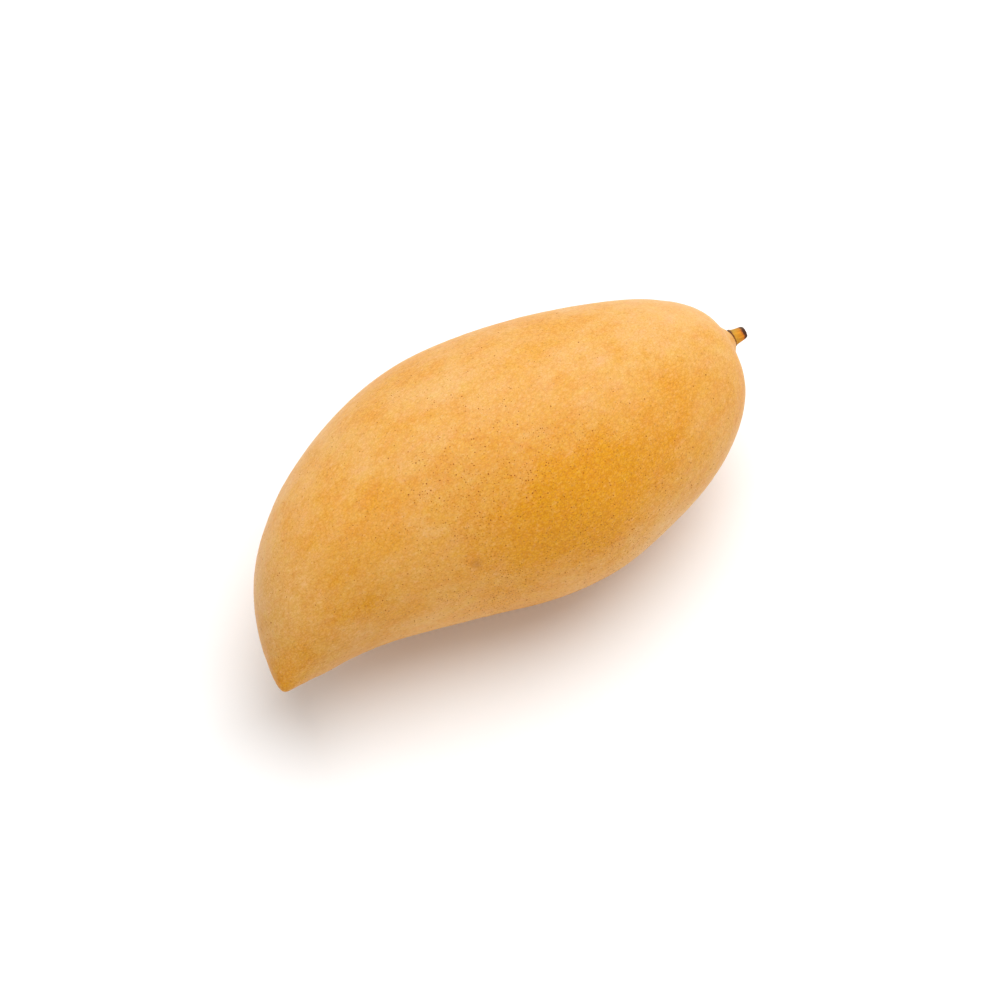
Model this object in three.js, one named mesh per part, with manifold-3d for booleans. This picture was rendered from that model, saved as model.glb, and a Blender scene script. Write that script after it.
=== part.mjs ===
// A ripe yellow mango, picked with a short stub of its stalk, lying on one cheek.
// Millimetres. +X runs from the beak to the stalk, +Y towards the convex back, and +Z up,
// out of the upper cheek. The fruit is one solid, and the stalk is another, rooted in it.
import * as THREE from "three";
import { mergeVertices } from "three/addons/utils/BufferGeometryUtils.js";
import Module from "manifold-3d";

// The fruit, from the tip of its beak to the seat of its stalk.
const FRUIT_LENGTH = 158;
const BEAK = new THREE.Vector2(0, 0);
const STALK_SEAT = new THREE.Vector2(FRUIT_LENGTH, -0.5);
// Nine stations between the two, each a pair of control points seen from above: one for the
// convex back, and one for the belly, which curves in behind the beak. The share is the
// thickness from cheek to cheek over the width from belly to back.
const STATIONS = [
  { back: [0, 4.2], belly: [3.2, -0.6], share: 1.12 },
  { back: [5.3, 18], belly: [13.8, -2.4], share: 1.22 },
  { back: [18, 34.7], belly: [28.8, -3.9], share: 1.09 },
  { back: [40, 46.4], belly: [54, -15], share: 0.97 },
  { back: [68, 52.4], belly: [78, -28.8], share: 0.88 },
  { back: [96, 48], belly: [102, -31.4], share: 0.86 },
  { back: [123, 35.6], belly: [126, -28], share: 0.9 },
  { back: [145, 22.5], belly: [146, -20.4], share: 1 },
  { back: [156, 8.5], belly: [156, -4], share: 1.2 },
];
const END_SHARE = 1;
const BACK_FULLNESS = 0.07; // how much thicker a section is at its back than at its middle
const REST_SINK = 0.6; // how far the ripe flesh gives where it lies, which leaves a flat spot

// Soft swellings of the cheeks, which no real fruit is without.
const SWELL_HEIGHT = 0.15;
const SWELL_LENGTHS = [54, 33];

// The mesh: quads along the fruit between its two ends, and across each end.
const CELLS_ALONG = 36;
const CELLS_ACROSS = 20;

// The stalk stub: it leaves the fruit leaning towards the belly, flares where it is rooted,
// and ends in a cut with a slightly swollen rim.
const STALK_LEAN = THREE.MathUtils.degToRad(-14);
const STALK_RISE = THREE.MathUtils.degToRad(3);
const STALK_ROOT_DEPTH = 2.2;
const STALK_ROOT_RADIUS = 1.4;
const STALK_FLARE_RADIUS = 2;
const STALK_NECK_RADIUS = 1.65;
const STALK_WAIST_RADIUS = 1.4;
const STALK_RIM_RADIUS = 1.5;
const STALK_CUT_RADIUS = 1.2;
const STALK_LENGTH = 4.2;
const STALK_SIDES = 24;
const SEAT_GAP = 0.3;

// One value of a closed uniform cubic B-spline, where ring holds one component of its points.
function loopValue(ring, u) {
  const start = Math.floor(u);
  const f = u - start;
  const weights = [
    (1 - f) ** 3 / 6,
    (3 * f ** 3 - 6 * f ** 2 + 4) / 6,
    (-3 * f ** 3 + 3 * f ** 2 + 3 * f + 1) / 6,
    f ** 3 / 6,
  ];
  return weights.reduce((sum, weight, k) => {
    const index = (start + k - 1 + 2 * ring.length) % ring.length;
    return sum + weight * ring[index];
  }, 0);
}

// The control point that makes the loop pass through a given point between its neighbours.
function controlThrough(point, before, after) {
  return [0, 1].map((k) => (6 * point.getComponent(k) - before[k] - after[k]) / 4);
}

const first = STATIONS[0];
const last = STATIONS[STATIONS.length - 1];
const outline = [
  controlThrough(BEAK, first.back, first.belly),
  ...STATIONS.map((station) => station.back),
  controlThrough(STALK_SEAT, last.back, last.belly),
  ...STATIONS.map((station) => station.belly).reverse(),
];
const shares = STATIONS.map((station) => station.share);
const outlineX = outline.map((point) => point[0]);
const outlineY = outline.map((point) => point[1]);
const shareRing = [END_SHARE, ...shares, END_SHARE, ...[...shares].reverse()];

// The point of the skin in a direction from inside the fruit: the angle from the beak gives the
// station, and the angle round the long axis gives the place on that station's section.
function skinPoint(direction) {
  const fromBeak = Math.acos(THREE.MathUtils.clamp(-direction.x, -1, 1));
  const station = (fromBeak / Math.PI) * (STATIONS.length + 1);
  const around = Math.atan2(direction.z, direction.y);
  const back = new THREE.Vector2(loopValue(outlineX, station), loopValue(outlineY, station));
  const belly = new THREE.Vector2(loopValue(outlineX, -station), loopValue(outlineY, -station));
  const middle = back.clone().add(belly).multiplyScalar(0.5);
  const half = back.clone().sub(belly).multiplyScalar(0.5);
  const swell = (SWELL_HEIGHT * Math.sin(fromBeak) ** 2) / Math.max(half.length(), 1);
  const lumps =
    Math.sin((2 * Math.PI * middle.x) / SWELL_LENGTHS[0] + 2 * around) +
    0.6 * Math.sin((2 * Math.PI * middle.x) / SWELL_LENGTHS[1] - 3 * around);
  half.multiplyScalar(1 + swell * lumps);
  const thickness = half.length() * loopValue(shareRing, station);
  middle.addScaledVector(half, Math.cos(around));
  return new THREE.Vector3(
    middle.x,
    middle.y,
    thickness * Math.sin(around) * (1 + BACK_FULLNESS * Math.cos(around)),
  );
}

// A cube's grid drawn out over the fruit has even cells, and no fan of slivers at either end.
function fruitSkin() {
  const skin = new THREE.BoxGeometry(2, 2, 2, CELLS_ALONG, CELLS_ACROSS, CELLS_ACROSS);
  const places = skin.getAttribute("position");
  const point = new THREE.Vector3();
  for (let i = 0; i < places.count; i += 1) {
    point.fromBufferAttribute(places, i);
    const even = point.toArray().map((side) => Math.tan((side * Math.PI) / 4));
    const skinned = skinPoint(point.fromArray(even).normalize());
    places.setXYZ(i, skinned.x, skinned.y, skinned.z);
  }
  return skin;
}

// The height of the fruit's middle plane, once it lies on Z 0 and has sunk in a little.
function heightOfMiddle(skin) {
  skin.computeBoundingBox();
  return -skin.boundingBox.min.z - REST_SINK;
}

// Sets the fruit down on Z 0, and flattens what would sink below it.
function layDown(skin, height) {
  skin.translate(0, 0, height);
  const places = skin.getAttribute("position");
  for (let i = 0; i < places.count; i += 1) {
    places.setZ(i, Math.max(0, places.getZ(i)));
  }
}

// The stalk's side, from the middle of its root to the middle of its cut, grown by a clearance.
function stalkProfile(clearance) {
  return [
    [0, -STALK_ROOT_DEPTH - clearance],
    [STALK_ROOT_RADIUS + clearance, -STALK_ROOT_DEPTH - clearance],
    [STALK_ROOT_RADIUS + clearance, -0.5],
    [STALK_FLARE_RADIUS + clearance, 0],
    [STALK_FLARE_RADIUS + clearance, 0.35],
    [STALK_NECK_RADIUS + clearance, 1.2],
    [STALK_WAIST_RADIUS + clearance, STALK_LENGTH - 1.2],
    [STALK_RIM_RADIUS + clearance, STALK_LENGTH - 0.4],
    [STALK_CUT_RADIUS + clearance, STALK_LENGTH + clearance],
    [0, STALK_LENGTH - 0.15 + clearance],
  ].map(([radius, height]) => new THREE.Vector2(radius, height));
}

// A lathed stalk, turned from its own Y axis into its place on the fruit.
function stalkSolid(clearance, seatHeight) {
  const stalk = new THREE.LatheGeometry(stalkProfile(clearance), STALK_SIDES);
  stalk.rotateZ(-Math.PI / 2 + STALK_RISE);
  stalk.rotateX(-Math.PI / 2);
  stalk.rotateZ(STALK_LEAN);
  stalk.translate(STALK_SEAT.x, STALK_SEAT.y, seatHeight);
  return stalk;
}

const wasm = await Module();
wasm.setup();

function toManifold(geometry) {
  const bare = geometry.clone();
  bare.deleteAttribute("normal");
  bare.deleteAttribute("uv");
  const merged = mergeVertices(bare, 1e-4);
  return new wasm.Manifold(
    new wasm.Mesh({
      numProp: 3,
      vertProperties: merged.getAttribute("position").array,
      triVerts: new Uint32Array(merged.index.array),
    }),
  );
}

function toGeometry(solid) {
  const mesh = solid.getMesh();
  const geometry = new THREE.BufferGeometry();
  geometry.setAttribute("position", new THREE.BufferAttribute(mesh.vertProperties, 3));
  geometry.setIndex(new THREE.BufferAttribute(mesh.triVerts, 1));
  return geometry;
}

const skin = fruitSkin();
const height = heightOfMiddle(skin);
layDown(skin, height);
const stalkSocket = toManifold(stalkSolid(SEAT_GAP, height));
const fruitGeometry = toGeometry(toManifold(skin).subtract(stalkSocket));
const stalkGeometry = toGeometry(toManifold(stalkSolid(0, height)));

const skinMaterial = new THREE.MeshStandardMaterial({
  color: "#f0b160",
  roughness: 0.5,
  metalness: 0,
});
const stalkMaterial = new THREE.MeshStandardMaterial({
  color: "#b98335",
  roughness: 0.75,
  metalness: 0,
});

const fruit = new THREE.Mesh(fruitGeometry, skinMaterial);
fruit.name = "fruit";
const stalk = new THREE.Mesh(stalkGeometry, stalkMaterial);
stalk.name = "stalk";

const mango = new THREE.Group();
mango.add(fruit, stalk);

// The origin is under the middle of the whole mango, on the surface that it lies on.
const bounds = new THREE.Box3().setFromObject(mango);
const middle = bounds.getCenter(new THREE.Vector3());
mango.position.set(-middle.x, -middle.y, -bounds.min.z);

export default mango;
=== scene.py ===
import math

import bpy
import numpy as np
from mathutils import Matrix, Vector


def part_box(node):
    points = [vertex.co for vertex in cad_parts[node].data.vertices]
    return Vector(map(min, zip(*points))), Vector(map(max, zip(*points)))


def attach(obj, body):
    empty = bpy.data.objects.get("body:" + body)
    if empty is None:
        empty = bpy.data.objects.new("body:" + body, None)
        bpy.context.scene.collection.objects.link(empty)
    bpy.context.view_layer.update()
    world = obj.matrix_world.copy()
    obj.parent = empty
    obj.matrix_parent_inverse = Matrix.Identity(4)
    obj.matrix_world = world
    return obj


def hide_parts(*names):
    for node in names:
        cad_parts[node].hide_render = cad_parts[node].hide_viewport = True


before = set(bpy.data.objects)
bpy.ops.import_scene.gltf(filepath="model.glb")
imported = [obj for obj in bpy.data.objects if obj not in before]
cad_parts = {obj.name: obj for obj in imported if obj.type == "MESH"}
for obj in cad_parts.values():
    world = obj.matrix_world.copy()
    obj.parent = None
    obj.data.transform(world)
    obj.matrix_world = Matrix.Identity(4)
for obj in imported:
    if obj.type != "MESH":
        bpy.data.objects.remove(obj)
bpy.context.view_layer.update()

# The view. The camera looks down on the upper cheek from over the belly edge, with the beak
# at the lower left of the frame and the stalk at the upper right.
CAMERA_AIM = Vector((-0.0035, -0.0060, 0.0350))
CAMERA_TURN = math.radians(-41.81)
CAMERA_HEIGHT = math.radians(62.0)
CAMERA_DISTANCE = 0.8
CAMERA_LENS = 109.5  # in millimetres, like the sensor's width
CAMERA_SENSOR = 36.0

camera = bpy.data.objects.new("camera", bpy.data.cameras.new("camera"))
camera.data.lens = CAMERA_LENS
camera.data.sensor_width = CAMERA_SENSOR
away = Vector(
    (
        math.sin(CAMERA_TURN) * math.cos(CAMERA_HEIGHT),
        -math.cos(CAMERA_TURN) * math.cos(CAMERA_HEIGHT),
        math.sin(CAMERA_HEIGHT),
    )
)
camera.location = CAMERA_AIM + CAMERA_DISTANCE * away
camera.rotation_euler = away.to_track_quat("Z", "Y").to_euler()
bpy.context.scene.collection.objects.link(camera)
bpy.context.scene.camera = camera

# The fruit. A ripe mango is one firm fleshy body in a thin waxy peel, which swelled round a flat
# stone: flatter from cheek to cheek than from belly to back, and drawn out into a blunt beak.
# Sizes are in millimetres, from the tip of the beak, with X along the fruit and Y to its back.
FRUIT_LENGTH = 158.0
BEAK = (0.0, 0.0)
STALK_SEAT = (FRUIT_LENGTH, -0.5)
BACK_EDGE = [
    (0, 4.2),
    (5.3, 18),
    (18, 34.7),
    (40, 46.4),
    (68, 52.4),
    (96, 48),
    (123, 35.6),
    (145, 22.5),
    (156, 8.5),
]
BELLY_EDGE = [
    (3.2, -0.6),
    (13.8, -2.4),
    (28.8, -3.9),
    (54, -15),
    (78, -28.8),
    (102, -31.4),
    (126, -28),
    (146, -20.4),
    (156, -4),
]
THICKNESS_SHARES = [1, 1.12, 1.22, 1.09, 0.97, 0.88, 0.86, 0.9, 1, 1.2, 1]
BACK_FULLNESS = 0.07  # how much thicker a section is at its back than at its middle
REST_SINK = 0.6  # how far the ripe flesh gives where it lies
SWELL_HEIGHT = 0.15
SWELL_LENGTHS = (54, 33)
SWELL_SHARE = 0.6  # the height of the shorter swells, beside the longer ones
CELLS_ALONG = 178  # cells of the peel's mesh, each about 0.6 mm wide
CELLS_ACROSS = 102

# Soft rings in the skin, each a middle, a point inside the fruit that it is raised away from, a
# radius, a width and a height. The skin is drawn up to the stalk out of a hollow inside a low
# shoulder, and pinched in behind the nub of the beak. Where the radius is nothing, the ring is
# one of the slight hollows and swellings that every fruit has, all of them under half a millimetre.
SKIN_RINGS = [
    ((*STALK_SEAT, 0), (144, 3, 0), 8.0, 5.0, -1.15),
    ((*STALK_SEAT, 0), (138, 4, 0), 18.0, 5.0, 0.2),
    ((*BEAK, 0), (14, 9, 0), 9.4, 2.6, -0.12),
    ((105, 35, 22), (105, 10, 0), 0.0, 22, -0.38),
    ((57, 46, 16), (57, 12, 0), 0.0, 22, -0.34),
    ((75, 49, 10), (75, 13, 0), 0.0, 14, 0.12),
    ((128, 30, 10), (128, 9, 0), 0.0, 18, -0.11),
    ((141, 15, 18), (141, 6, 0), 0.0, 14, -0.22),
    ((148, 9, 15), (148, 4, 0), 0.0, 9, -0.35),
    ((146, -16, 7), (146, 0, 0), 0.0, 9, 0.08),
    ((135, -24, 3), (135, -2, 0), 0.0, 14, -0.28),
    ((107, -30, -2), (107, -3, 0), 0.0, 14, -0.32),
    ((87, -27, -12), (87, -2, 0), 0.0, 12, 0.31),
    ((72, -16, -21), (72, 0, 0), 0.0, 20, -0.3),
    ((45, -9, -11), (45, 1, 0), 0.0, 16, 0.2),
]
STALK_LEAN = math.radians(-14)
STALK_RISE = math.radians(3)
SOCKET_RADIUS = 2.0  # the hole that the stalk is rooted in
SOCKET_DEPTH = 2.6
SOCKET_EDGE = 0.35  # how wide the slope of its rim is
SOCKET_REACH = 12  # how far below the seat the skin can still belong to the hole


def through(point, before, after):
    """The control point that makes the loop pass through a point between its neighbours."""
    return [(6 * point[k] - before[k] - after[k]) / 4 for k in range(2)]


def loop_value(ring, at):
    """A closed uniform cubic B-spline through rows of control values, at any stations."""
    ring = np.asarray(ring, float).reshape(len(ring), -1)
    start = np.floor(at).astype(int)
    f = (at - start)[:, None]
    weights = [
        (1 - f) ** 3 / 6,
        (3 * f**3 - 6 * f**2 + 4) / 6,
        (-3 * f**3 + 3 * f**2 + 3 * f + 1) / 6,
        f**3 / 6,
    ]
    return sum(w * ring[(start + k - 1) % len(ring)] for k, w in enumerate(weights))


def cube_grid(along, across):
    """Directions through an even grid on a cube's faces, and the quads between them."""
    cells = np.array([along, across, across])
    corners, quads, count = [], [], 0
    for axis in range(3):
        b, c = (axis + 1) % 3, (axis + 2) % 3
        u, v = np.meshgrid(np.arange(cells[b] + 1), np.arange(cells[c] + 1), indexing="ij")
        index = np.arange(u.size).reshape(u.shape)
        quad = np.stack(
            [index[:-1, :-1], index[1:, :-1], index[1:, 1:], index[:-1, 1:]], -1
        ).reshape(-1, 4)
        for side in (0, cells[axis]):
            corner = np.empty(u.shape + (3,), int)
            corner[..., axis], corner[..., b], corner[..., c] = side, u, v
            corners.append(corner.reshape(-1, 3))
            quads.append((quad if side else quad[:, ::-1]) + count)
            count += u.size
    corners, merged = np.unique(np.concatenate(corners), axis=0, return_inverse=True)
    directions = np.tan((2 * corners / cells - 1) * math.pi / 4)
    directions /= np.linalg.norm(directions, axis=1)[:, None]
    return directions, merged.reshape(-1)[np.concatenate(quads)]


def skin_points(directions):
    """The points of the skin in the given directions from inside the fruit."""
    outline = [
        through(BEAK, BACK_EDGE[0], BELLY_EDGE[0]),
        *BACK_EDGE,
        through(STALK_SEAT, BACK_EDGE[-1], BELLY_EDGE[-1]),
        *BELLY_EDGE[::-1],
    ]
    shares = THICKNESS_SHARES + THICKNESS_SHARES[-2:0:-1]
    from_beak = np.arccos(np.clip(-directions[:, 0], -1, 1))
    station = from_beak / math.pi * (len(BACK_EDGE) + 1)
    around = np.arctan2(directions[:, 2], directions[:, 1])
    back = loop_value(outline, station)
    belly = loop_value(outline, -station)
    middle, half = (back + belly) / 2, (back - belly) / 2
    reach = np.linalg.norm(half, axis=1)
    lumps = np.sin(2 * math.pi * middle[:, 0] / SWELL_LENGTHS[0] + 2 * around)
    lumps += SWELL_SHARE * np.sin(2 * math.pi * middle[:, 0] / SWELL_LENGTHS[1] - 3 * around)
    half *= (1 + SWELL_HEIGHT * np.sin(from_beak) ** 2 / np.maximum(reach, 1) * lumps)[:, None]
    thickness = np.linalg.norm(half, axis=1) * loop_value(shares, station)[:, 0]
    edge = middle + half * np.cos(around)[:, None]
    rise = thickness * np.sin(around) * (1 + BACK_FULLNESS * np.cos(around))
    return np.column_stack([edge, rise])


def smoothstep(value, low, high):
    """A soft rise from 0 to 1 between two values."""
    share = np.clip((value - low) / (high - low), 0, 1)
    return share * share * (3 - 2 * share)


STALK_AXIS = np.array(
    [
        math.cos(STALK_LEAN) * math.cos(STALK_RISE),
        math.sin(STALK_LEAN) * math.cos(STALK_RISE),
        math.sin(STALK_RISE),
    ]
)


def shape_skin(points):
    """Raises the soft rings of the skin, and sinks the hole that the stalk is rooted in."""
    shift = np.zeros_like(points)
    for middle, inside, radius, width, height in SKIN_RINGS:
        reach = np.linalg.norm(points - middle, axis=1)
        outward = points - inside
        outward /= np.maximum(np.linalg.norm(outward, axis=1), 1)[:, None]
        shift += (height * np.exp(-(((reach - radius) / width) ** 2)))[:, None] * outward
    offset = points - np.array([*STALK_SEAT, 0.0])
    height = offset @ STALK_AXIS
    radius = np.linalg.norm(offset - height[:, None] * STALK_AXIS, axis=1)
    sunk = 1 - smoothstep(radius, SOCKET_RADIUS - SOCKET_EDGE, SOCKET_RADIUS)
    hole = np.where(height > -SOCKET_REACH, SOCKET_DEPTH * sunk, 0)
    return points + shift - hole[:, None] * STALK_AXIS


directions, quads = cube_grid(CELLS_ALONG, CELLS_ACROSS)
points = skin_points(directions)
lift = -points[:, 2].min() - REST_SINK
low, high = (np.array(corner) * 1000 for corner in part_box("fruit"))
to_frame = np.array(
    [
        (low[0] + high[0] - points[:, 0].min() - points[:, 0].max()) / 2,
        (low[1] + high[1] - points[:, 1].min() - points[:, 1].max()) / 2,
        lift,
    ]
)
points = shape_skin(points) + to_frame
points[:, 2] = np.maximum(points[:, 2], 0)
seat = Vector((np.array([*STALK_SEAT, 0.0]) + to_frame) / 1000)


def new_piece(name, points_mm, faces):
    """An object with a smooth mesh, from points in millimetres."""
    mesh = bpy.data.meshes.new(name)
    mesh.from_pydata((points_mm / 1000).tolist(), [], faces)
    mesh.shade_smooth()
    piece = bpy.data.objects.new(name, mesh)
    bpy.context.scene.collection.objects.link(piece)
    return piece


peel = new_piece("peel", points, quads.tolist())


def add(tree, kind, settings=(), inputs=(), output=0):
    """Adds a node with its settings, and gives back one of its outputs.
    An input is a value, or the socket that is linked to it."""
    node = tree.nodes.new(kind)
    for name, value in dict(settings).items():
        setattr(node, name, value)
    for key, value in dict(inputs).items():
        if isinstance(value, bpy.types.NodeSocket):
            tree.links.new(value, node.inputs[key])
        else:
            node.inputs[key].default_value = value
    return node.outputs[output] if len(node.outputs) else node


def linear(code):
    """The linear colour of an sRGB hex code."""
    channels = [int(code[k : k + 2], 16) / 255 for k in (1, 3, 5)]
    curve = [c / 12.92 if c <= 0.04045 else ((c + 0.055) / 1.055) ** 2.4 for c in channels]
    return (*curve, 1.0)


# Waxy mango peel, ripened on the tree: a yellow skin flushed deeper amber in soft patches, with a
# fine leathery grain, faint pores, and a satin bloom of wax that softens every reflection.
waxy_peel = bpy.data.materials.new("waxy mango peel")
waxy_peel.use_nodes = True
tree = waxy_peel.node_tree
tree.nodes.clear()
place = add(tree, "ShaderNodeTexCoord", output="Object")
mm = add(tree, "ShaderNodeMapping", {}, {"Vector": place, "Scale": (1000, 1000, 1000)})
lengthwise = add(tree, "ShaderNodeMapping", {}, {"Vector": mm, "Scale": (0.6, 1, 1)})

# The flush: broad cloudy patches, and smaller clouds inside them.
clouds = add(
    tree,
    "ShaderNodeTexNoise",
    {"noise_dimensions": "4D"},
    {"Vector": mm, "W": 3.1, "Scale": 1 / 26, "Detail": 2.0, "Roughness": 0.5},
)
small_clouds = add(
    tree,
    "ShaderNodeTexNoise",
    {"noise_dimensions": "4D"},
    {"Vector": lengthwise, "W": 7.7, "Scale": 1 / 7, "Detail": 5.0, "Roughness": 0.68},
)
flush = add(tree, "ShaderNodeMath", {"operation": "MULTIPLY_ADD"}, {0: clouds, 1: 0.9, 2: -0.46})
flush = add(
    tree, "ShaderNodeMath", {"operation": "MULTIPLY_ADD"}, {0: small_clouds, 1: 1.1, 2: flush}
)
# Where the sun ripened the fruit further, and where leaves kept it pale: the middle of each
# patch, its radius in millimetres, and how far it moves the flush. Their edges are feathered,
# over half of the width that follows to either side.
FEATHER_WIDTH = 24.0
feather = add(
    tree,
    "ShaderNodeTexNoise",
    {},
    {"Vector": mm, "Scale": 1 / 8, "Detail": 5.0, "Roughness": 0.65},
    1,
)
feather = add(tree, "ShaderNodeVectorMath", {"operation": "SUBTRACT"}, {0: feather, 1: (0.5,) * 3})
ragged = add(
    tree,
    "ShaderNodeVectorMath",
    {"operation": "MULTIPLY_ADD"},
    {0: feather, 1: (FEATHER_WIDTH,) * 3, 2: mm},
)
RIPE_PATCHES = [
    ((2, -30, 55), 26, 0.8),
    ((22, -27, 57), 20, 0.46),
    ((43, -23, 56), 17, 0.3),
    ((11, -25, 61), 14, 0.34),
    ((49, -31, 49), 10, 0.05),
    ((-9, -32, 48), 10, -0.12),
    ((64, -8, 54), 20, -0.28),
    ((36, -8, 63), 16, 0.07),
    ((46, -6, 62), 15, -0.28),
    ((33, 12, 62), 14, 0.26),
    ((9, 5, 69), 22, -0.17),
    ((-20, -25, 50), 20, 0.34),
    ((-28, -10, 61), 10, -0.2),
    ((-50, -13, 44), 18, 0.36),
    ((-66, -7, 47), 15, 0.16),
    ((-82, -9, 36), 15, 0.34),
    ((-38, 3, 62), 17, 0.2),
    ((-49, 8, 60), 15, 0.12),
    ((-44, 19, 60), 26, -0.3),
    ((-68, 10, 48), 20, -0.2),
    ((-5, 14, 68), 22, -0.24),
    ((28, -38, 24), 28, -0.21),
    ((62, 0, 56), 40, -0.25),
    ((-12, 36, 14), 34, 0.3),
    ((40, 18, 8), 36, 0.25),
]
for middle, radius, change in RIPE_PATCHES:
    distance = add(
        tree, "ShaderNodeVectorMath", {"operation": "DISTANCE"}, {0: ragged, 1: middle}, "Value"
    )
    share = add(
        tree,
        "ShaderNodeMapRange",
        {"interpolation_type": "SMOOTHSTEP"},
        {"Value": distance, "From Min": radius, "From Max": 0.0, "To Min": 0.0, "To Max": change},
    )
    flush = add(tree, "ShaderNodeMath", {"operation": "ADD"}, {0: flush, 1: share})
ripeness = add(tree, "ShaderNodeValToRGB", {}, {"Fac": flush})
ramp = ripeness.node.color_ramp
ramp.elements[0].color = linear("#e6b371")
ramp.elements[1].color = linear("#e09a12")
for position, code in ((0.3, "#e4ac5e"), (0.55, "#e2a345"), (0.8, "#e19c2c")):
    ramp.elements.new(position).color = linear(code)

# Painted shade: the peel's colour is darkened towards the beak, as if that end of the fruit lay in
# shade.
BEAK_TIP = (-82, -9, 36)
from_beak = add(
    tree, "ShaderNodeVectorMath", {"operation": "DISTANCE"}, {0: mm, 1: BEAK_TIP}, "Value"
)
beak_shade = add(
    tree,
    "ShaderNodeMapRange",
    {"interpolation_type": "SMOOTHSTEP"},
    {"Value": from_beak, "From Min": 14.0, "From Max": 52.0, "To Min": 0.87, "To Max": 1.0},
)
# The ripeness colour, with the painted shade towards the beak.
base = add(tree, "ShaderNodeVectorMath", {"operation": "SCALE"}, {0: ripeness, "Scale": beak_shade})

# The net of veins and spots is stronger where the peel is riper, and its wax is thinner there.
strength = add(
    tree,
    "ShaderNodeMapRange",
    {},
    {"Value": flush, "From Min": 0.1, "From Max": 1.1, "To Min": 0.6, "To Max": 1.3},
)
waxiness = add(
    tree,
    "ShaderNodeMapRange",
    {},
    {"Value": flush, "From Min": 0.2, "From Max": 1.0, "To Min": 1.0, "To Max": 0.6},
)

# Fine mottling: small spots of deeper orange, and pale flecks of wax between them. A Mix node's
# two colours are its inputs 6 and 7, and the mixed colour is its output 2.
mottle = add(
    tree,
    "ShaderNodeTexNoise",
    {"noise_dimensions": "4D"},
    {"Vector": lengthwise, "W": 1.3, "Scale": 1 / 1.2, "Detail": 4.0, "Roughness": 0.7},
)
orange_spots = add(
    tree,
    "ShaderNodeMapRange",
    {"interpolation_type": "SMOOTHSTEP"},
    {"Value": mottle, "From Min": 0.5, "From Max": 0.7, "To Min": 0.0, "To Max": 0.5},
)
orange_spots = add(
    tree, "ShaderNodeMath", {"operation": "MULTIPLY"}, {0: orange_spots, 1: strength}
)
colour = add(
    tree,
    "ShaderNodeMix",
    {"data_type": "RGBA", "blend_type": "MULTIPLY"},
    {0: orange_spots, 6: base, 7: linear("#eee0be")},
    2,
)
wax_flecks = add(
    tree,
    "ShaderNodeMapRange",
    {"interpolation_type": "SMOOTHSTEP"},
    {"Value": mottle, "From Min": 0.48, "From Max": 0.3, "To Min": 0.0, "To Max": 0.3},
)
wax_flecks = add(tree, "ShaderNodeMath", {"operation": "MULTIPLY"}, {0: wax_flecks, 1: waxiness})
colour = add(
    tree,
    "ShaderNodeMix",
    {"data_type": "RGBA"},
    {0: wax_flecks, 6: colour, 7: linear("#ecc08a")},
    2,
)

# A net of fine veins, under a millimetre from one to the next and drawn out along the fruit,
# where the flesh shows through the wax.
drift = add(
    tree, "ShaderNodeTexNoise", {}, {"Vector": mm, "Scale": 1 / 0.8, "Detail": 2.0}, "Color"
)
drawn = add(
    tree,
    "ShaderNodeVectorMath",
    {"operation": "MULTIPLY_ADD"},
    {0: drift, 1: (1.1, 1.1, 1.1), 2: mm},
)
fibrous = add(tree, "ShaderNodeMapping", {}, {"Vector": drawn, "Scale": (0.45, 1, 1)})
veins = add(
    tree,
    "ShaderNodeTexVoronoi",
    {"voronoi_dimensions": "3D", "feature": "DISTANCE_TO_EDGE"},
    {"Vector": fibrous, "Scale": 1 / 0.75, "Randomness": 1.0},
    "Distance",
)
vein_mask = add(
    tree,
    "ShaderNodeMapRange",
    {"interpolation_type": "SMOOTHSTEP"},
    {"Value": veins, "From Min": 0.2, "From Max": 0.03, "To Min": 0.0, "To Max": 0.6},
)
vein_mask = add(tree, "ShaderNodeMath", {"operation": "MULTIPLY"}, {0: vein_mask, 1: strength})
colour = add(
    tree,
    "ShaderNodeMix",
    {"data_type": "RGBA", "blend_type": "MULTIPLY"},
    {0: vein_mask, 6: colour, 7: linear("#edddb6")},
    2,
)

# Pores: a faint brownish pin-prick in the peel every couple of millimetres. Real ones are about
# 0.1 mm wide, and these are drawn three to five times that to show.
pores = add(
    tree,
    "ShaderNodeTexVoronoi",
    {"voronoi_dimensions": "3D", "feature": "F1"},
    {"Vector": mm, "Scale": 1 / 1.7, "Randomness": 1.0},
    "Distance",
)
pore_mask = add(
    tree,
    "ShaderNodeMapRange",
    {"interpolation_type": "SMOOTHSTEP"},
    {"Value": pores, "From Min": 0.2, "From Max": 0.08, "To Min": 0.0, "To Max": 0.26},
)
pore_mask = add(tree, "ShaderNodeMath", {"operation": "MULTIPLY"}, {0: pore_mask, 1: strength})
colour = add(
    tree, "ShaderNodeMix", {"data_type": "RGBA"}, {0: pore_mask, 6: colour, 7: linear("#864a14")}, 2
)

# A small rub mark on the flank, where the peel has healed reddish brown.
RUB_MARK = (-25.2, -21.3, 51.2)
from_rub = add(
    tree,
    "ShaderNodeVectorMath",
    {"operation": "DISTANCE"},
    {0: drawn, 1: RUB_MARK},
    "Value",
)
rub_mask = add(
    tree,
    "ShaderNodeMapRange",
    {"interpolation_type": "SMOOTHSTEP"},
    {"Value": from_rub, "From Min": 2.4, "From Max": 0.4, "To Min": 0.0, "To Max": 0.35},
)
colour = add(
    tree, "ShaderNodeMix", {"data_type": "RGBA"}, {0: rub_mask, 6: colour, 7: linear("#a5622f")}, 2
)

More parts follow.
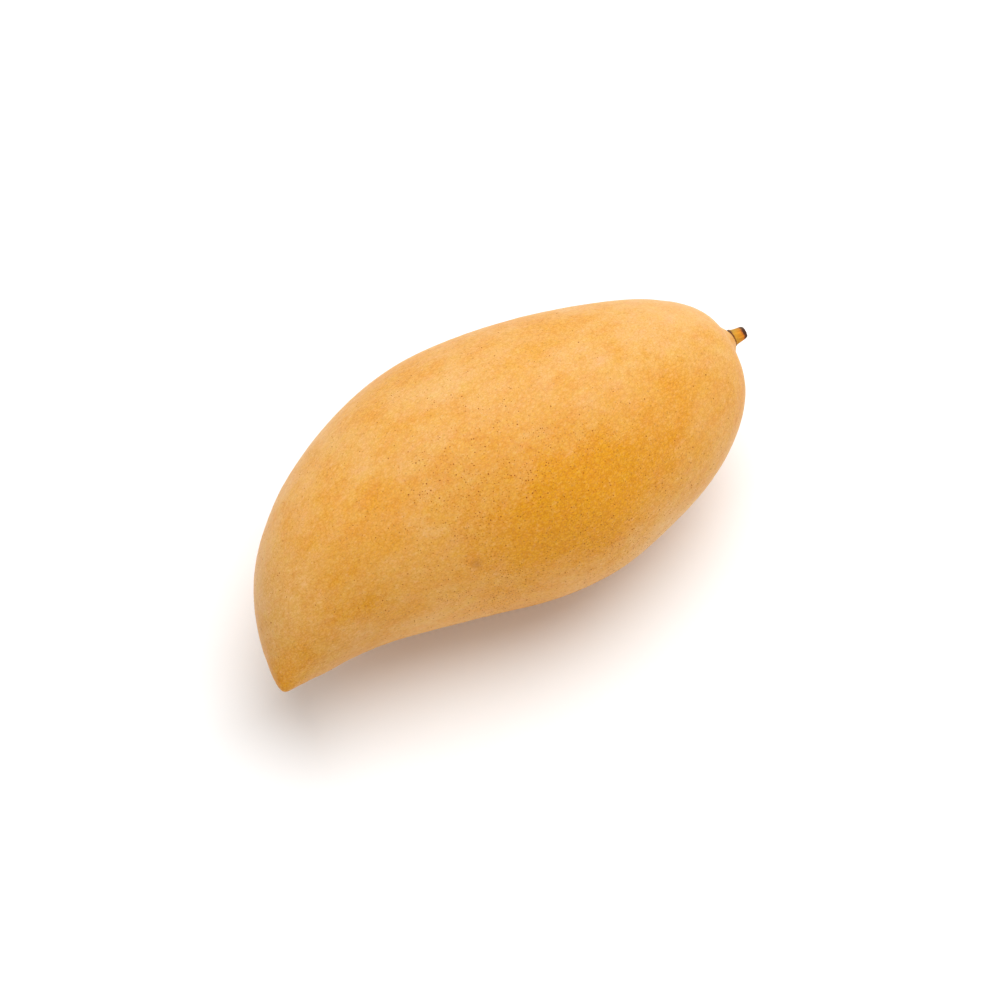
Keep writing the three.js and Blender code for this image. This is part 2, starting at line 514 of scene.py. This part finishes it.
# The leathery grain, a third of a millimetre from bump to bump: paler on the bumps and deeper
# between them. A Map Range on vectors has its value, its old range and its new one in inputs 6 to
# 10, and its result in output 1.
grain = add(
    tree,
    "ShaderNodeTexNoise",
    {"noise_dimensions": "3D"},
    {"Vector": mm, "Scale": 1 / 0.32, "Detail": 1.0, "Roughness": 0.6},
)
grain_tone = add(
    tree,
    "ShaderNodeMapRange",
    {"data_type": "FLOAT_VECTOR"},
    {6: grain, 7: (0.3,) * 3, 8: (0.7,) * 3, 9: (0.965, 0.915, 0.77), 10: (1.035, 1.085, 1.24)},
    1,
)
colour = add(tree, "ShaderNodeVectorMath", {"operation": "MULTIPLY"}, {0: colour, 1: grain_tone})

# A faint blush: here a little redder, and there a little greener, a few millimetres apart.
blush = add(
    tree,
    "ShaderNodeTexNoise",
    {"noise_dimensions": "4D"},
    {"Vector": lengthwise, "W": 9.2, "Scale": 1 / 2.6, "Detail": 3.0, "Roughness": 0.6},
)
blush_tone = add(
    tree,
    "ShaderNodeMapRange",
    {"data_type": "FLOAT_VECTOR"},
    {6: blush, 7: (0.3,) * 3, 8: (0.7,) * 3, 9: (1.0, 0.95, 1.07), 10: (1.0, 1.05, 0.93)},
    1,
)
colour = add(tree, "ShaderNodeVectorMath", {"operation": "MULTIPLY"}, {0: colour, 1: blush_tone})

# The bloom: a thin dusting of pale wax in flecks about half a millimetre wide, which is thinner
# where the peel is riper.
bloom = add(
    tree,
    "ShaderNodeTexNoise",
    {"noise_dimensions": "4D"},
    {"Vector": mm, "W": 5.5, "Scale": 1 / 0.6, "Detail": 3.0, "Roughness": 0.7},
)
bloom_mask = add(
    tree,
    "ShaderNodeMapRange",
    {},
    {"Value": bloom, "From Min": 0.48, "From Max": 0.75, "To Min": 0.0, "To Max": 0.26},
)
bloom_mask = add(tree, "ShaderNodeMath", {"operation": "MULTIPLY"}, {0: bloom_mask, 1: waxiness})
colour = add(
    tree,
    "ShaderNodeMix",
    {"data_type": "RGBA"},
    {0: bloom_mask, 6: colour, 7: linear("#edc890")},
    2,
)

# The relief that is too fine for the mesh: leathery bumps a millimetre or so apart and the grain
# on them, with the pores as pits. The bumps are rubbed a little duller than the peel between them.
leather = add(
    tree,
    "ShaderNodeTexNoise",
    {"noise_dimensions": "3D"},
    {"Vector": mm, "Scale": 1 / 1.3, "Detail": 2.0, "Roughness": 0.5},
)
height = add(tree, "ShaderNodeMath", {"operation": "MULTIPLY_ADD"}, {0: grain, 1: 0.5, 2: leather})
height = add(
    tree, "ShaderNodeMath", {"operation": "MULTIPLY_ADD"}, {0: pore_mask, 1: -0.6, 2: height}
)
bump = add(
    tree, "ShaderNodeBump", {}, {"Height": height, "Strength": 1.0, "Distance": 0.00004}
)
roughness = add(
    tree,
    "ShaderNodeMapRange",
    {},
    {"Value": leather, "From Min": 0.3, "From Max": 0.7, "To Min": 0.44, "To Max": 0.58},
)
surface = add(
    tree,
    "ShaderNodeBsdfPrincipled",
    {"subsurface_method": "RANDOM_WALK"},
    {
        "Base Color": colour,
        "Roughness": roughness,
        "IOR": 1.45,
        "Specular IOR Level": 0.25,
        "Subsurface Weight": 0.12,
        "Subsurface Radius": (1.0, 0.45, 0.12),
        "Subsurface Scale": 0.003,
        "Sheen Weight": 0.1,
        "Sheen Roughness": 0.45,
        "Sheen Tint": linear("#fff0e4"),
        "Normal": bump,
    },
)
add(tree, "ShaderNodeOutputMaterial", {}, {"Surface": surface})


def as_mesh(piece):
    """Turns what a piece's modifiers make into its own plain mesh."""
    seen = piece.evaluated_get(bpy.context.evaluated_depsgraph_get())
    made = bpy.data.meshes.new_from_object(seen)
    piece.modifiers.clear()
    piece.data = made
    made.name = piece.name


def grow(piece, tree, values):
    """Adds a node tree to a piece with the values of its named inputs, and makes it a mesh."""
    modifier = piece.modifiers.new(tree.name, "NODES")
    modifier.node_group = tree
    sockets = {item.name: item.identifier for item in tree.interface.items_tree}
    for name, value in values.items():
        modifier[sockets[name]] = value
    as_mesh(piece)


def new_tree(name, inputs):
    """A geometry tree with a mesh input and output and the given named inputs."""
    tree = bpy.data.node_groups.new(name, "GeometryNodeTree")
    tree.interface.new_socket("Mesh", in_out="INPUT", socket_type="NodeSocketGeometry")
    for label, kind in inputs.items():
        tree.interface.new_socket(label, in_out="INPUT", socket_type="NodeSocket" + kind)
    tree.interface.new_socket("Mesh", in_out="OUTPUT", socket_type="NodeSocketGeometry")
    return tree, tree.nodes.new("NodeGroupInput").outputs


# The peel's own relief, grown along its normals: dents and swellings a thumb wide, and a shallow
# dimpling. It fades out round the stalk, and stays above the table.
tree, given = new_tree(
    "peel relief",
    {
        "Dent height": "Float",
        "Dent width": "Float",
        "Dimple height": "Float",
        "Dimple width": "Float",
        "Seat": "Vector",
        "Seat margin": "Float",
        "Seed": "Float",
        "Peel": "Material",
    },
)
where = add(tree, "GeometryNodeInputPosition")
relief = None
for part in ("Dent", "Dimple"):
    width = given[part + " width"]
    pitch = add(tree, "ShaderNodeMath", {"operation": "DIVIDE"}, {0: 1.0, 1: width})
    field = add(
        tree,
        "ShaderNodeTexNoise",
        {"noise_dimensions": "4D"},
        {"Vector": where, "W": given["Seed"], "Scale": pitch, "Detail": 1.0, "Roughness": 0.5},
    )
    centred = add(tree, "ShaderNodeMath", {"operation": "SUBTRACT"}, {0: field, 1: 0.5})
    share = add(
        tree, "ShaderNodeMath", {"operation": "MULTIPLY"}, {0: centred, 1: given[part + " height"]}
    )
    relief = share if relief is None else add(tree, "ShaderNodeMath", {}, {0: relief, 1: share})
apart = add(
    tree, "ShaderNodeVectorMath", {"operation": "DISTANCE"}, {0: where, 1: given["Seat"]}, "Value"
)
fade = add(
    tree,
    "ShaderNodeMapRange",
    {"interpolation_type": "SMOOTHSTEP"},
    {"Value": apart, "From Min": 0.002, "From Max": given["Seat margin"]},
)
relief = add(tree, "ShaderNodeMath", {"operation": "MULTIPLY"}, {0: relief, 1: fade})
outwards = add(tree, "GeometryNodeInputNormal")
shift = add(tree, "ShaderNodeVectorMath", {"operation": "SCALE"}, {0: outwards, "Scale": relief})
moved = add(tree, "GeometryNodeSetPosition", {}, {"Geometry": given["Mesh"], "Offset": shift})
now = add(tree, "GeometryNodeInputPosition")
x = add(tree, "ShaderNodeSeparateXYZ", {}, {0: now}, "X")
y, z = x.node.outputs["Y"], x.node.outputs["Z"]
above = add(tree, "ShaderNodeMath", {"operation": "MAXIMUM"}, {0: z, 1: 0.0})
laid = add(tree, "ShaderNodeCombineXYZ", {}, {0: x, 1: y, 2: above})
moved = add(tree, "GeometryNodeSetPosition", {}, {"Geometry": moved, "Position": laid})
whole = add(tree, "GeometryNodeRealizeInstances", {}, {"Geometry": moved})
dressed = add(tree, "GeometryNodeSetMaterial", {}, {"Geometry": whole, "Material": given["Peel"]})
add(tree, "NodeGroupOutput", {}, {0: dressed})
grow(
    peel,
    tree,
    {
        "Dent height": 0.0006,
        "Dent width": 0.022,
        "Dimple height": 0.00016,
        "Dimple width": 0.0026,
        "Seat": seat,
        "Seat margin": 0.012,
        "Seed": 4.0,
        "Peel": waxy_peel,
    },
)
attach(peel, "root")
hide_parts("fruit")

# The lenticels: specks of reddish cork where the peel breathes, 0.25 mm to 0.5 mm wide and
# hardly raised. They are scattered in loose clusters over the whole fruit, thickest on its upper
# cheek and thinnest on its pale shoulder. Dry cork is matt, and no two specks are equally brown.
cork = bpy.data.materials.new("corky lenticel")
cork.use_nodes = True
tree = cork.node_tree
tree.nodes.clear()
tone = add(tree, "ShaderNodeAttribute", {"attribute_name": "tone"}, {}, "Fac")
brown = add(tree, "ShaderNodeValToRGB", {}, {"Fac": tone})
brown.node.color_ramp.elements[0].color = linear("#c67c12")
brown.node.color_ramp.elements[1].color = linear("#9f5212")
brown.node.color_ramp.elements.new(0.5).color = linear("#ba6c14")
surface = add(
    tree,
    "ShaderNodeBsdfPrincipled",
    {},
    {"Base Color": brown, "Roughness": 0.8, "Specular IOR Level": 0.15},
)
add(tree, "ShaderNodeOutputMaterial", {}, {"Surface": surface})

lenticels = bpy.data.objects.new("lenticels", peel.data)
bpy.context.scene.collection.objects.link(lenticels)
tree, given = new_tree(
    "lenticels",
    {
        "Spacing": "Float",
        "Most per square metre": "Float",
        "Cluster width": "Float",
        "Dot radius": "Float",
        "Dot rise": "Float",
        "Pale shoulder": "Vector",
        "Shoulder reach": "Float",
        "Speckled cheek": "Vector",
        "Cheek reach": "Float",
        "Seed": "Int",
        "Cork": "Material",
    },
)
where = add(tree, "GeometryNodeInputPosition")
pitch = add(tree, "ShaderNodeMath", {"operation": "DIVIDE"}, {0: 1.0, 1: given["Cluster width"]})
crowd = add(tree, "ShaderNodeTexNoise", {}, {"Vector": where, "Scale": pitch, "Detail": 1.0})
crowd = add(
    tree,
    "ShaderNodeMapRange",
    {},
    {"Value": crowd, "From Min": 0.36, "From Max": 0.62, "To Min": 0.25},
)
apart = add(
    tree,
    "ShaderNodeVectorMath",
    {"operation": "DISTANCE"},
    {0: where, 1: given["Pale shoulder"]},
    "Value",
)
clear = add(
    tree,
    "ShaderNodeMapRange",
    {"interpolation_type": "SMOOTHSTEP"},
    {"Value": apart, "From Min": 0.012, "From Max": given["Shoulder reach"], "To Min": 0.08},
)
crowd = add(tree, "ShaderNodeMath", {"operation": "MULTIPLY"}, {0: crowd, 1: clear})
apart = add(
    tree,
    "ShaderNodeVectorMath",
    {"operation": "DISTANCE"},
    {0: where, 1: given["Speckled cheek"]},
    "Value",
)
thinning = add(
    tree,
    "ShaderNodeMapRange",
    {"interpolation_type": "SMOOTHSTEP"},
    {
        "Value": apart,
        "From Min": 0.015,
        "From Max": given["Cheek reach"],
        "To Min": 1.0,
        "To Max": 0.1,
    },
)
crowd = add(tree, "ShaderNodeMath", {"operation": "MULTIPLY"}, {0: crowd, 1: thinning})
spots = add(
    tree,
    "GeometryNodeDistributePointsOnFaces",
    {"distribute_method": "POISSON"},
    {
        "Mesh": given["Mesh"],
        "Distance Min": given["Spacing"],
        "Density Max": given["Most per square metre"],
        "Density Factor": crowd,
        "Seed": given["Seed"],
    },
)
turned = spots.node.outputs["Rotation"]
speck = add(tree, "GeometryNodeMeshUVSphere", {}, {"Segments": 6, "Rings": 3, "Radius": 1.0})

# Each speck draws a chance, which gives its brown and, raised to a high power, its width, so that
# few specks are large. A second draw makes it longer or shorter than it is wide. A random number
# node has its two limits in inputs 2 and 3, and its number in output 1.
chance = add(
    tree,
    "FunctionNodeRandomValue",
    {"data_type": "FLOAT"},
    {2: 0.0, 3: 1.0, "Seed": given["Seed"]},
    1,
)
rarity = add(tree, "ShaderNodeMath", {"operation": "POWER"}, {0: chance, 1: 5.5})
width = add(tree, "ShaderNodeMapRange", {}, {"Value": rarity, "To Min": 0.82, "To Max": 1.42})
width = add(tree, "ShaderNodeMath", {"operation": "MULTIPLY"}, {0: width, 1: given["Dot radius"]})
slenderness = add(
    tree,
    "FunctionNodeRandomValue",
    {"data_type": "FLOAT"},
    {2: 0.65, 3: 1.2, "Seed": 11},
    1,
)
breadth = add(tree, "ShaderNodeMath", {"operation": "MULTIPLY"}, {0: width, 1: slenderness})
size = add(tree, "ShaderNodeCombineXYZ", {}, {0: width, 1: breadth, 2: given["Dot rise"]})
specks = add(
    tree,
    "GeometryNodeInstanceOnPoints",
    {},
    {"Points": spots, "Instance": speck, "Rotation": turned, "Scale": size},
)
specks = add(
    tree,
    "GeometryNodeStoreNamedAttribute",
    {"data_type": "FLOAT", "domain": "INSTANCE"},
    {"Geometry": specks, "Name": "tone", "Value": chance},
)
whole = add(tree, "GeometryNodeRealizeInstances", {}, {"Geometry": specks})
smooth = add(tree, "GeometryNodeSetShadeSmooth", {}, {"Geometry": whole})
dressed = add(tree, "GeometryNodeSetMaterial", {}, {"Geometry": smooth, "Material": given["Cork"]})
add(tree, "NodeGroupOutput", {}, {0: dressed})
grow(
    lenticels,
    tree,
    {
        "Spacing": 0.00052,
        "Most per square metre": 1550000.0,
        "Cluster width": 0.016,
        "Dot radius": 0.00016,
        "Dot rise": 0.00004,
        "Pale shoulder": Vector((0.058, 0.006, 0.056)),
        "Shoulder reach": 0.05,
        "Speckled cheek": Vector((-0.010, -0.033, 0.050)),
        "Cheek reach": 0.055,
        "Seed": 5,
        "Cork": cork,
    },
)
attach(lenticels, "root")

# The stalk: the woody stub that stays on a picked mango. It flares into a dark ring where it
# grows out of the fruit, is furrowed lengthwise, and ends in a cut that has dried dark and hard.
STALK_SIDES = 72
STALK_PROFILE = [  # radius and height above the seat, from the root to the middle of the cut
    (0.01, -2.2),
    (1.0, -2.2),
    (1.36, -2.1),
    (1.5, -1.8),
    (1.8, -1.4),
    (2.3, -1.0),
    (2.5, -0.7),
    (2.5, -0.3),
    (2.36, 0.0),
    (2.2, 0.3),
    (2.08, 0.7),
    (1.98, 1.3),
    (1.9, 1.9),
    (1.81, 2.5),
    (1.74, 2.95),
    (1.68, 3.25),
    (1.56, 3.5),
    (1.38, 3.66),
    (1.16, 3.72),
    (0.96, 3.66),
    (0.75, 3.58),
    (0.5, 3.6),
    (0.25, 3.54),
    (0.01, 3.52),
]
STALK_ROWS = 4  # rows of cells from each point of the profile to the next
FURROWS = 11
FURROW_DEPTHS = (0.035, 0.02)  # of the broad furrows and of the finer ones, beside the radius
RIM_START, RIM_END = 3.1, 3.6  # the heights between which the side turns into the cut's rim

rows = (len(STALK_PROFILE) - 1) * STALK_ROWS + 1
knots = np.arange(len(STALK_PROFILE))
steps = np.linspace(0, len(STALK_PROFILE) - 1, rows)
radii, heights = (np.interp(steps, knots, column) for column in zip(*STALK_PROFILE))
turn = np.arange(STALK_SIDES) * 2 * math.pi / STALK_SIDES
radius, height = radii[:, None], heights[:, None]
rim = smoothstep(height, RIM_START, RIM_END)
bare = smoothstep(height, 0.0, 0.6) * (1 - rim)
broad = FURROW_DEPTHS[0] * np.sin(FURROWS * turn + 0.6 * height)
fine = FURROW_DEPTHS[1] * np.sin((2 * FURROWS + 3) * turn - 1.1 * height)
wobble = 0.03 * np.sin(2 * turn + 0.7) + 0.02 * np.sin(5 * turn + 2 * height)
ragged = 0.03 * rim * (np.sin(9 * turn) + np.sin(17 * turn + 1))
swollen = radius * (1 + bare * (broad + fine) + wobble * smoothstep(height, 0.1, 0.6))
tall = height + ragged * smoothstep(radius, 0.2, 1.2)
across = np.cross(STALK_AXIS, (0, 0, 1))
across /= np.linalg.norm(across)
upward = np.cross(across, STALK_AXIS)
spokes = np.cos(turn)[:, None] * across + np.sin(turn)[:, None] * upward
ring = swollen[..., None] * spokes + (tall + 0 * turn)[..., None] * STALK_AXIS
points = ring.reshape(-1, 3) + np.array([*STALK_SEAT, 0.0]) + to_frame
index = np.arange(rows * STALK_SIDES).reshape(rows, STALK_SIDES)
beside = np.roll(index, -1, 1)
sides = np.stack([index[:-1], beside[:-1], beside[1:], index[1:]], -1).reshape(-1, 4)
ends = [index[0, ::-1].tolist(), index[-1].tolist()]
stalk = new_piece("stalk_stub", points, sides.tolist() + ends)

# The distance run along the profile from the seat lets one ramp colour the side, rim and cut, and
# the share of each point that faces the back of the fruit sets where painted light pales the side.
run = np.concatenate([[0], np.cumsum(np.hypot(np.diff(radii), np.diff(heights)))])
run -= run[np.argmax(heights >= 0)]
lit_side = np.tile((1 - np.cos(turn)) / 2, rows)
for name, values in (("along", np.repeat(run, STALK_SIDES)), ("lit_side", lit_side)):
    attribute = stalk.data.attributes.new(name, "FLOAT", "POINT")
    attribute.data.foreach_set("value", values)

# Dry mango stalk: bark the colour of straw that has gone brown where it was wet with sap, which
# is in a ring at the base and round the cut. It is matt, with fine furrows along it.
dry_bark = bpy.data.materials.new("dry mango stalk bark")
dry_bark.use_nodes = True
tree = dry_bark.node_tree
tree.nodes.clear()
along = add(tree, "ShaderNodeAttribute", {"attribute_name": "along"}, {}, "Fac")
place = add(tree, "ShaderNodeTexCoord", output="Object")
mm = add(tree, "ShaderNodeMapping", {}, {"Vector": place, "Scale": (1000, 1000, 1000)})
stained = add(
    tree,
    "ShaderNodeTexNoise",
    {},
    {"Vector": mm, "Scale": 1 / 0.8, "Detail": 3.0, "Roughness": 0.6},
)
wander = add(tree, "ShaderNodeMath", {"operation": "MULTIPLY_ADD"}, {0: stained, 1: 0.9, 2: -0.45})
edge = add(tree, "ShaderNodeMath", {"operation": "ADD"}, {0: along, 1: wander})
BARK_START, BARK_END = -1.0, 7.0  # the distances at the two ends of the ramp of colours
share = add(
    tree, "ShaderNodeMapRange", {}, {"Value": edge, "From Min": BARK_START, "From Max": BARK_END}
)
bark = add(tree, "ShaderNodeValToRGB", {}, {"Fac": share})
BARK_COLOURS = [  # distance along the side in millimetres, and the colour there
    (-1.0, "#44260f"),
    (-0.5, "#57310f"),
    (-0.22, "#95561c"),
    (0.02, "#c38d2a"),
    (0.7, "#cf9327"),
    (1.8, "#d88e1c"),
    (2.4, "#cd7a1a"),
    (2.75, "#934c1a"),
    (3.0, "#4a2815"),
    (4.3, "#452716"),
    (4.9, "#7d5228"),
    (5.4, "#a07c44"),
]
ramp = bark.node.color_ramp
ramp.elements.remove(ramp.elements[1])
ramp.elements[0].color = linear(BARK_COLOURS[0][1])
for reach, code in BARK_COLOURS[1:]:
    ramp.elements.new((reach - BARK_START) / (BARK_END - BARK_START)).color = linear(code)

# Fine fibres run along the bark, and painted light pales the side facing the back of the fruit.
stretched = add(
    tree,
    "ShaderNodeMapping",
    {"vector_type": "TEXTURE"},
    {"Vector": mm, "Rotation": (0.0, -STALK_RISE, STALK_LEAN), "Scale": (5.0, 1.0, 1.0)},
)
fibre = add(
    tree,
    "ShaderNodeTexNoise",
    {},
    {"Vector": stretched, "Scale": 1 / 0.32, "Detail": 3.0, "Roughness": 0.6},
)
fibre_tone = add(
    tree,
    "ShaderNodeMapRange",
    {},
    {"Value": fibre, "From Min": 0.3, "From Max": 0.7, "To Min": 0.82, "To Max": 1.14},
)
lit_side = add(tree, "ShaderNodeAttribute", {"attribute_name": "lit_side"}, {}, "Fac")
lit_side = add(
    tree,
    "ShaderNodeMapRange",
    {"interpolation_type": "SMOOTHSTEP"},
    {"Value": lit_side, "From Min": 0.35, "From Max": 1.0, "To Min": 0.0, "To Max": 1.0},
)
# Painted light: a paler copy of the bark, mixed in on the side that faces the back of the fruit.
painted_light_bark = add(
    tree,
    "ShaderNodeMix",
    {"data_type": "RGBA", "blend_type": "MULTIPLY"},
    {0: 1.0, 6: bark, 7: linear("#e0f0ff")},
    2,
)
painted_light_bark = add(
    tree, "ShaderNodeMix", {"data_type": "RGBA"}, {0: 0.09, 6: painted_light_bark, 7: linear("#d6cca0")}, 2
)
bark = add(tree, "ShaderNodeMix", {"data_type": "RGBA"}, {0: lit_side, 6: bark, 7: painted_light_bark}, 2)
colour = add(tree, "ShaderNodeVectorMath", {"operation": "SCALE"}, {0: bark, "Scale": fibre_tone})
bump = add(tree, "ShaderNodeBump", {}, {"Height": fibre, "Strength": 1.0, "Distance": 0.00012})
roughness = add(tree, "ShaderNodeMapRange", {}, {"Value": fibre, "To Min": 0.6, "To Max": 0.85})
surface = add(
    tree,
    "ShaderNodeBsdfPrincipled",
    {},
    {
        "Base Color": colour,
        "Roughness": roughness,
        "IOR": 1.5,
        "Specular IOR Level": 0.25,
        "Normal": bump,
    },
)
add(tree, "ShaderNodeOutputMaterial", {}, {"Surface": surface})
stalk.data.materials.append(dry_bark)
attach(stalk, "root")
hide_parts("stalk")

# The table: a sheet of plain white card, wide enough to have no edge in any view. It is matt and
# hardly mottled, so that the fruit's soft shadow is all that shows on it.
TABLE_REACH = 9000.0
TABLE_HEIGHT = -0.05  # just under the spot that the fruit rests on

card = bpy.data.materials.new("matt white card")
card.use_nodes = True
tree = card.node_tree
tree.nodes.clear()
fibres = add(tree, "ShaderNodeTexNoise", {}, {"Scale": 900.0, "Detail": 2.0})
white = add(tree, "ShaderNodeValToRGB", {}, {"Fac": fibres})
white.node.color_ramp.elements[0].color = linear("#f9f9f9")
white.node.color_ramp.elements[1].color = linear("#fcfcfc")
surface = add(
    tree,
    "ShaderNodeBsdfPrincipled",
    {},
    {"Base Color": white, "Roughness": 0.9, "Specular IOR Level": 0.1},
)
add(tree, "ShaderNodeOutputMaterial", {}, {"Surface": surface})
corners = np.array([(-1, -1, 0), (1, -1, 0), (1, 1, 0), (-1, 1, 0)]) * TABLE_REACH
table = new_piece("table", corners + (0, 0, TABLE_HEIGHT), [(0, 1, 2, 3)])
table.data.materials.append(card)

# The light: a wide soft lamp almost overhead and a little towards the stalk, in a white room.
KEY_FROM = Vector((0.33, 0.1, 0.94))
KEY_STRENGTH = 2.42
KEY_WIDTH = math.radians(60.0)
ROOM_STRENGTH = 0.55

key = bpy.data.objects.new("key_light", bpy.data.lights.new("key_light", "SUN"))
key.data.energy = KEY_STRENGTH
key.data.angle = KEY_WIDTH
key.location = CAMERA_AIM + KEY_FROM
key.rotation_euler = KEY_FROM.to_track_quat("Z", "Y").to_euler()
bpy.context.scene.collection.objects.link(key)

room = bpy.data.worlds.new("white room")
room.use_nodes = True
walls = room.node_tree.nodes["Background"]
walls.inputs["Color"].default_value = linear("#ffffff")
walls.inputs["Strength"].default_value = ROOM_STRENGTH
bpy.context.scene.world = room
bpy.context.scene.view_settings.view_transform = "Standard"
